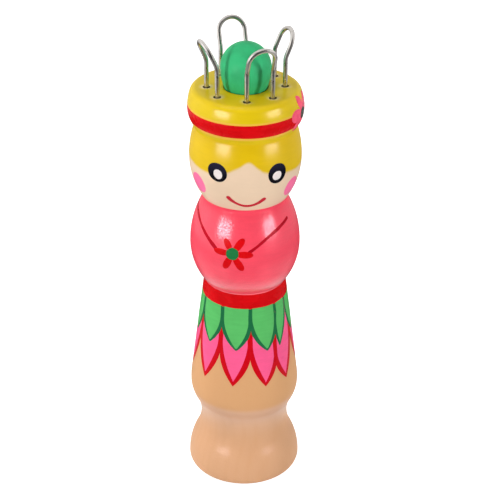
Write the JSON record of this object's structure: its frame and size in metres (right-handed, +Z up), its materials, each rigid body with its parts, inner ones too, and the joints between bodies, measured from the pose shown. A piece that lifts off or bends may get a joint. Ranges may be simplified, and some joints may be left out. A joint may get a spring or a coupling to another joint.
{
  "type": "knitting nancy",
  "caption": "Turned and painted wooden doll for French knitting, bored through its axis, with wire staples round the mouth of the bore and a lifting bodkin kept in it.",
  "frame": {"origin": "centre of the flat underside of the foot, on the floor, with the doll standing", "axes": "+Z up along the turning axis and the bore, -Y is the way the painted face looks, +X is to the right of a viewer who looks at the face"},
  "size_m": [0.0376, 0.0376, 0.1572],
  "materials": {
    "doll_wood": "gloss lacquer over painted and bare turned wood",
    "staple_wire": "polished stainless wire",
    "knob_wood": "gloss green paint on turned wood",
    "needle_steel": "polished"
  },
  "bodies": {
    "doll": {"doll_body": "doll_wood", "staple_front": "staple_wire", "staple_right": "staple_wire", "staple_back": "staple_wire", "staple_left": "staple_wire"},
    "bodkin": {"bodkin_knob": "knob_wood", "bodkin_needle": "needle_steel"}
  },
  "joints": [
    {"name": "bodkin_lift", "type": "slide", "parent": "doll", "child": "bodkin", "axis": [0, 0, 1], "range_m": [0, 0.092]}
  ]
}
